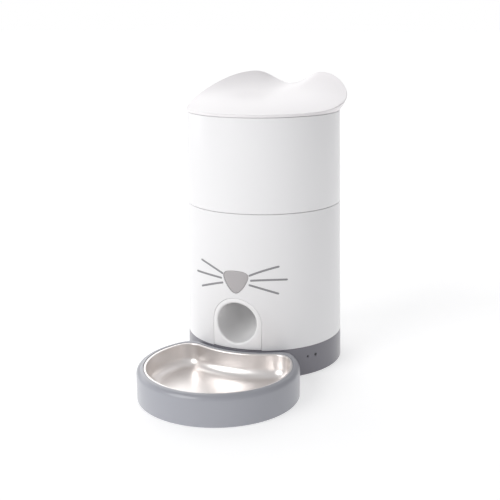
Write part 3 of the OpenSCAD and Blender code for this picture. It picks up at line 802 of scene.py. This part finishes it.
# %% [markdown]
# ## The ear lid
# The rim of the lid rises from a low brow at the front to two ears at the back, with a notch
# between them. Cosine waves give that rim without a corner, and the wall below it swells
# outwards. The top is a shallow dome that turns up steeply just before the rim.

# %% Lid formulas
EAR_RISE, NOTCH_RISE, BROW_RISE = 40 * MM, 24 * MM, 3 * MM
EAR_ANGLE, EAR_SWEEP = math.radians(26), math.radians(118)
LID_R = column_radius(LID_SEAM)
LID_FLARE, FLARE_H = 9 * MM, 22 * MM


def rim_rise(angle):
    """Height of the rim above the seam, by the angle from the back."""
    turn = abs(angle)
    if turn < EAR_ANGLE:
        return EAR_RISE - (EAR_RISE - NOTCH_RISE) * (1 + math.cos(math.pi * turn / EAR_ANGLE)) / 2
    fall = min(1, (turn - EAR_ANGLE) / EAR_SWEEP)
    return BROW_RISE + (EAR_RISE - BROW_RISE) * ((1 + math.cos(math.pi * fall)) / 2) ** 2.5


def wall_radius(angle, rise):
    """Radius of the lid's wall at a height above the seam."""
    fade = min(1, max(0, (abs(angle) - math.radians(78)) / math.radians(45)))
    fade = 1 - fade * fade * (3 - 2 * fade)
    return LID_R + LID_FLARE * (1 - (1 - min(1, rise / FLARE_H)) ** 2) * fade


def crown(y):
    """Height of the middle of the lid, by the distance behind the axis."""
    return 6 * MM + 0.085 * (y + LID_R)


# %% Lid mesh
LID_SIDES = 144
LID_WALL = 2.6 * MM


def lid_ring(place):
    """A ring of the lid; place gives (radius, height) from the angle from the back."""
    ring = []
    for k in range(LID_SIDES):
        angle = 2 * math.pi * k / LID_SIDES - math.pi
        radius, height = place(angle)
        across, back = radius * math.sin(angle), radius * math.cos(angle)
        ring.append((across, AXIS_Y + back, LID_FOOT + height))
    return ring


def wall_place(part, inset):
    def place(angle):
        rise = max(0.6 * MM, rim_rise(angle) - inset)
        return wall_radius(angle, part * rise) - inset, part * rise

    return place


def top_place(part, inset):
    def place(angle):
        rise = max(0.6 * MM, rim_rise(angle) - inset)
        radius = (wall_radius(angle, rise) - inset) * part
        dome = max(0.6 * MM, crown(radius * math.cos(angle)) - inset)
        return radius, dome + part**4 * (rise - dome)

    return place


WALL_PARTS = [0.0, 0.04, 0.15, 0.3, 0.45, 0.6, 0.75, 0.87, 0.95]
TOP_PARTS = [0.992, 0.98, 0.96, 0.93, 0.89, 0.83, 0.76, 0.68, 0.58, 0.47, 0.35, 0.23, 0.11, 0.0]


def lid_skin(inset):
    return [lid_ring(wall_place(part, inset)) for part in WALL_PARTS] + [
        lid_ring(top_place(part, inset)) for part in TOP_PARTS
    ]


outer_skin = lid_skin(0)
inner_skin = lid_skin(LID_WALL)
ear_lid = loft("ear_lid_white", outer_skin[::-1] + inner_skin)
use_modifier(ear_lid, "SUBSURF", levels=1, render_levels=1)
hand_over(ear_lid, "lid", "lid_white", "ear_lid", smooth=60)

# %% [markdown]
# ## The base
# The grey base is one more turned shell, with a lip that centres the white one. A slot takes
# the tray's tongue, two small holes serve the lamp and the reset pin, and an oblong one at the
# back takes the power plug.

# %% Base shell
DOTS_Z = 23.3 * MM
LENS_AT, LENS_HOLE_R = 60.2, 1.9 * MM
PIN_AT, PIN_HOLE_R = 53.2, 1.25 * MM
SOCKET_Z = 19 * MM
lip = column_radius(BASE_TOP + 4 * MM) - WALL - GAP
base = revolve(
    "grey_base_shell",
    [
        (column_radius(FLOOR_EDGE), FLOOR_EDGE, 1.0 * MM),
        (column_radius(BASE_TOP), BASE_TOP, 0.5 * MM),
        (lip, BASE_TOP, 0),
        (lip, BASE_TOP + 4 * MM, 0.5 * MM),
        (lip - 2 * MM, BASE_TOP + 4 * MM, 0.4 * MM),
        (lip - 2 * MM, BASE_TOP - 5 * MM, 0),
        (column_radius(FLOOR_EDGE) - WALL, BASE_TOP - 6 * MM, 0),
        (column_radius(FLOOR_EDGE) - WALL, FLOOR_EDGE, 0.6 * MM),
    ],
)


def box_tool(low, high):
    bpy.ops.object.select_all(action="DESELECT")
    middle = [(a + b) / 2 for a, b in zip(low, high, strict=True)]
    bpy.ops.mesh.primitive_cube_add(size=1, location=middle)
    tool = bpy.context.active_object
    tool.scale = [b - a for a, b in zip(low, high, strict=True)]
    bpy.ops.object.transform_apply(location=True, rotation=True, scale=True)
    return tool


def radial_place(degrees, reach, z):
    """A point on a spoke of the column, by degrees round from the front towards +X."""
    angle = math.radians(degrees)
    return Vector((reach * math.sin(angle), AXIS_Y - reach * math.cos(angle), z))


def radial_rod(degrees, radius, near, far, z, sides=48):
    """A cylinder along a spoke of the column."""
    bpy.ops.object.select_all(action="DESELECT")
    middle = radial_place(degrees, (near + far) / 2, z)
    bpy.ops.mesh.primitive_cylinder_add(
        vertices=sides,
        radius=radius,
        depth=far - near,
        location=middle,
        rotation=(math.pi / 2, 0, math.radians(degrees)),
    )
    return bpy.context.active_object


tongue_slot = box_tool(
    (-20.6 * MM, AXIS_Y - 100 * MM, 8.4 * MM), (20.6 * MM, AXIS_Y - 80 * MM, 15.6 * MM)
)
plug_slot = box_tool(
    (-4.9 * MM, AXIS_Y + 80 * MM, SOCKET_Z - 1.9 * MM),
    (4.9 * MM, AXIS_Y + 100 * MM, SOCKET_Z + 1.9 * MM),
)
use_modifier(plug_slot, "BEVEL", width=1.8 * MM, segments=4, limit_method="ANGLE")
lens_hole = radial_rod(LENS_AT, LENS_HOLE_R, 80 * MM, 100 * MM, DOTS_Z)
pin_hole = radial_rod(PIN_AT, PIN_HOLE_R, 80 * MM, 100 * MM, DOTS_Z)
cut(base, tongue_slot, plug_slot, lens_hole, pin_hole)
hand_over(base, "housing", "base_grey", "base_shell")

# %% Lamp lens and reset pin


def radial_turned(name, degrees, profile, z, sides=48):
    """A small turned piece on a spoke: profile is (radius, reach, corner radius)."""
    centre_line = radial_place(degrees, 0, z)
    out = radial_place(degrees, 1, z) - centre_line
    side = Vector((out.y, -out.x, 0))
    up = Vector((0, 0, 1))
    rings = []
    for radius, reach in rounded(profile):
        ring = []
        for k in range(sides):
            turn = 2 * math.pi * k / sides
            spoke = side * math.cos(turn) + up * math.sin(turn)
            ring.append(tuple(centre_line + out * reach + spoke * radius))
        rings.append(ring)
    return loft(name, rings)


lens = radial_turned(
    "lamp_lens",
    LENS_AT,
    [
        (0, 88.5 * MM, 0),
        (1.8 * MM, 88.5 * MM, 0),
        (1.8 * MM, 93.9 * MM, 0.7 * MM),
        (0, 94.0 * MM, 0),
    ],
    DOTS_Z,
)
hand_over(lens, "housing", "dark_plastic", "status_lens", smooth=50)
pin = radial_turned(
    "reset_pin",
    PIN_AT,
    [
        (0, 89.2 * MM, 0),
        (2.4 * MM, 89.2 * MM, 0.2 * MM),
        (2.4 * MM, 90.8 * MM, 0.2 * MM),
        (1.15 * MM, 90.8 * MM, 0),
        (1.15 * MM, 93.2 * MM, 0.3 * MM),
        (0, 93.2 * MM, 0),
    ],
    DOTS_Z,
)
hand_over(pin, "reset", "dark_plastic", "reset_button", smooth=50)

# %% [markdown]
# ## The tray and the dish share one outline
# The tray is a circle with a bite for the column, and a round corner at each end of the bite.
# Moving every arc in by the same distance gives every step of both profiles, so one function
# draws them all. The dish has wider corners, because deep corners would tear thin sheet.

# %% Bowl outline
BOWL_R = (tray_high.x - tray_low.x) / 2
BOWL_Y = tray_low.y + BOWL_R
HUG_R = 95.5 * MM
TRAY_CORNER = 18 * MM
DISH_CORNER = 28 * MM
TRAY_TOP = tray_high.z


def arc(centre, radius, first, last, steps):
    """Points along an arc, without its last one."""
    turns = [first + (last - first) * k / steps for k in range(steps)]
    return [(centre[0] + radius * math.cos(t), centre[1] + radius * math.sin(t)) for t in turns]


def bowl_outline(inset, corner):
    """The bowl's outline moved in by inset; corner is the radius of its rear corners before."""
    reach = AXIS_Y - BOWL_Y
    far = HUG_R + corner
    back = (reach**2 + far**2 - (BOWL_R - corner) ** 2) / (2 * reach)
    side, spot_y = math.sqrt(far**2 - back**2), AXIS_Y - back
    tray_side = math.atan2(spot_y - BOWL_Y, side)
    hug_side = math.atan2(spot_y - AXIS_Y, side)
    small = corner - inset
    return (
        arc((0, BOWL_Y), BOWL_R - inset, tray_side, -math.pi - tray_side, 128)
        + arc((-side, spot_y), small, -math.pi - tray_side, -2 * math.pi - hug_side, 16)
        + arc((0, AXIS_Y), HUG_R + inset, -math.pi - hug_side, hug_side, 48)
        + arc((side, spot_y), small, hug_side + math.pi, tray_side, 16)
    )


def bowl_rings(profile, corner):
    """Rings of the bowl outline from a rounded profile of (inset, height, corner radius)."""
    line = rounded(profile)
    return [[(x, y, z) for x, y in bowl_outline(inset, corner)] for inset, z in line]


# %% Tray
outside = bowl_rings(
    [
        (2.5 * MM, 5 * MM, 0),
        (2.5 * MM, 1 * MM, 0.4 * MM),
        (0, 1 * MM, 0.9 * MM),
        (0, TRAY_TOP, 6.5 * MM),
        (7.0 * MM, TRAY_TOP, 0),
    ],
    TRAY_CORNER,
)
well = bowl_rings(
    [
        (7.2 * MM, TRAY_TOP, 0),
        (7.8 * MM, TRAY_TOP, 0.5 * MM),
        (7.8 * MM, TRAY_TOP - 1.6 * MM, 0.2 * MM),
        (9.6 * MM, TRAY_TOP - 1.6 * MM, 0.4 * MM),
        (9.6 * MM, 7.5 * MM, 1.5 * MM),
        (12 * MM, 7.5 * MM, 0),
    ],
    DISH_CORNER,
)
tray = loft("bowl_tray_grey", outside + well, cap_first=True, cap_last=True)
tongue = box_tool(
    (-20 * MM, AXIS_Y - HUG_R - 3 * MM, 9 * MM), (20 * MM, AXIS_Y - 86 * MM, 15 * MM)
)
use_modifier(tongue, "BEVEL", width=1.2 * MM, segments=3, limit_method="ANGLE")
cut(tray, tongue, operation="UNION")
hand_over(tray, "tray", "tray_blue_grey", "bowl_tray", smooth=40)

# %% [markdown]
# ## The steel dish
# The dish is pressed from sheet: the rim is turned out flat with a rolled edge, the wall leans
# in a little, and a wide fillet runs into the floor so that food doesn't stick in a corner.

# %% Dish
RIM_TOP = dish_high.z
SHEET = 0.8 * MM
DISH_FLOOR = dish_low.z
dish_rings = bowl_rings(
    [
        (24.6 * MM, DISH_FLOOR, 0),
        (10.6 * MM, DISH_FLOOR, 12 * MM),
        (10.1 * MM, RIM_TOP - SHEET, 0.6 * MM),
        (8.2 * MM, RIM_TOP - SHEET, 0.38 * MM),
        (8.2 * MM, RIM_TOP, 0.38 * MM),
        (10.9 * MM, RIM_TOP, 1.3 * MM),
        (11.4 * MM, DISH_FLOOR + SHEET, 11.4 * MM),
        (24.8 * MM, DISH_FLOOR + SHEET, 0),
    ],
    DISH_CORNER,
)
dish = loft("steel_dish", dish_rings, cap_first=True, cap_last=True)
hand_over(dish, "dish", "steel", "food_dish", smooth=40)

# %% [markdown]
# ## Feet
# Rubber feet are moulded pads with a rounded tread edge. Each is turned, and all of a set are
# joined into one piece.

# %% Rubber feet
FOOT_H = 5 * MM


def foot_set(name, places, radius, body, node):
    feet = [
        revolve(
            name,
            [(0, 0, 0), (radius, 0, 1.2 * MM), (radius, FOOT_H, 0), (0, FOOT_H, 0)],
            centre=place,
            sides=48,
            closed=False,
        )
        for place in places
    ]
    select_only(feet[0])
    for foot in feet:
        foot.select_set(True)
    bpy.ops.object.join()
    feet[0].name = name
    hand_over(feet[0], body, "rubber_black", node)


column_places = [(x * MM, AXIS_Y + y * MM) for x in (-66, 66) for y in (-46, 46)]
foot_set("column_foot_pads", column_places, 7 * MM, "housing", "base_feet")
spokes = [(75 * MM, math.radians(a)) for a in (205, 335)]
tray_places = [(r * math.cos(a), BOWL_Y + r * math.sin(a)) for r, a in spokes]
tray_places += [(x * MM, AXIS_Y - 112 * MM) for x in (-52, 52)]
foot_set("tray_foot_pads", tray_places, 6 * MM, "tray", "tray_feet")

# %% [markdown]
# ## The studio
# The feeder stands on a white table in a white room. A soft sun from the left front models the
# column, a wider one behind lifts the lid, and the white table sends light back up. Two soft
# boxes stand at the left and behind, because a steel dish only looks like steel when it has
# bright shapes to mirror. The air is white to the eye and to a mirror, but it gives only part
# of that light.

# %% Floor
bpy.ops.object.select_all(action="DESELECT")
bpy.ops.mesh.primitive_plane_add(size=30, location=(0, 0, 0))
floor = bpy.context.active_object
floor.name = "studio_floor"
floor_paint = bpy.data.materials.new("studio_floor")
floor_paint.use_nodes = True
paint = floor_paint.node_tree.nodes["Principled BSDF"]
paint.inputs["Base Color"].default_value = (0.6, 0.6, 0.6, 1)
paint.inputs["Roughness"].default_value = 0.9
paint.inputs["Specular IOR Level"].default_value = 0.1
paint.inputs["Emission Color"].default_value = (1, 1, 1, 1)
paint.inputs["Emission Strength"].default_value = 0.58
floor.data.materials.append(floor_paint)

# %% Lights


def add_light(name, kind, place, aim_at, power):
    bpy.ops.object.select_all(action="DESELECT")
    bpy.ops.object.light_add(type=kind, location=place)
    light = bpy.context.active_object
    light.name = name
    light.data.energy = power
    light.rotation_mode = "QUATERNION"
    light.rotation_quaternion = (Vector(aim_at) - Vector(place)).to_track_quat("-Z", "Y")
    return light.data


def soft_box(name, place, aim_at, size, power):
    light = add_light(name, "AREA", place, aim_at, power)
    light.shape = "RECTANGLE"
    light.size, light.size_y = size


front_sun = add_light("front_sun", "SUN", (-0.433, -0.75, 0.5), (0, 0, 0), 1.38)
front_sun.angle = math.radians(40)
back_sun = add_light("back_sun", "SUN", (-0.383, 0.663, 0.643), (0, 0, 0), 0.95)
back_sun.angle = math.radians(60)
soft_box("left_box", (-1.0, 0.1, 0.4), (0, -0.1, 0.03), (0.5, 0.4), 0.7)
soft_box("dish_box", (0.1, 0.75, 0.75), (0, -0.1, 0.03), (0.4, 0.4), 0.3)

# %% World
AIR_LIGHT = 0.33
MIRROR_SHARE = 0.45
world = bpy.data.worlds.new("studio_air")
world.use_nodes = True
sky = world.node_tree
air = sky.nodes
seen = add(sky, "ShaderNodeBackground")
ray = add(sky, "ShaderNodeLightPath")
bright = add(sky, "ShaderNodeMath", operation="MULTIPLY_ADD", use_clamp=True)
choose = add(sky, "ShaderNodeMixShader")
air["Background"].inputs["Color"].default_value = (0.97, 0.97, 1.0, 1)
air["Background"].inputs["Strength"].default_value = AIR_LIGHT
seen.inputs["Color"].default_value = (1, 1, 1, 1)
bright.inputs[1].default_value = MIRROR_SHARE
sky.links.new(ray.outputs["Is Glossy Ray"], bright.inputs[0])
sky.links.new(ray.outputs["Is Camera Ray"], bright.inputs[2])
sky.links.new(bright.outputs[0], choose.inputs[0])
sky.links.new(air["Background"].outputs[0], choose.inputs[1])
sky.links.new(seen.outputs[0], choose.inputs[2])
sky.links.new(choose.outputs[0], air["World Output"].inputs[0])
bpy.context.scene.world = world
bpy.context.scene.view_settings.view_transform = "Standard"
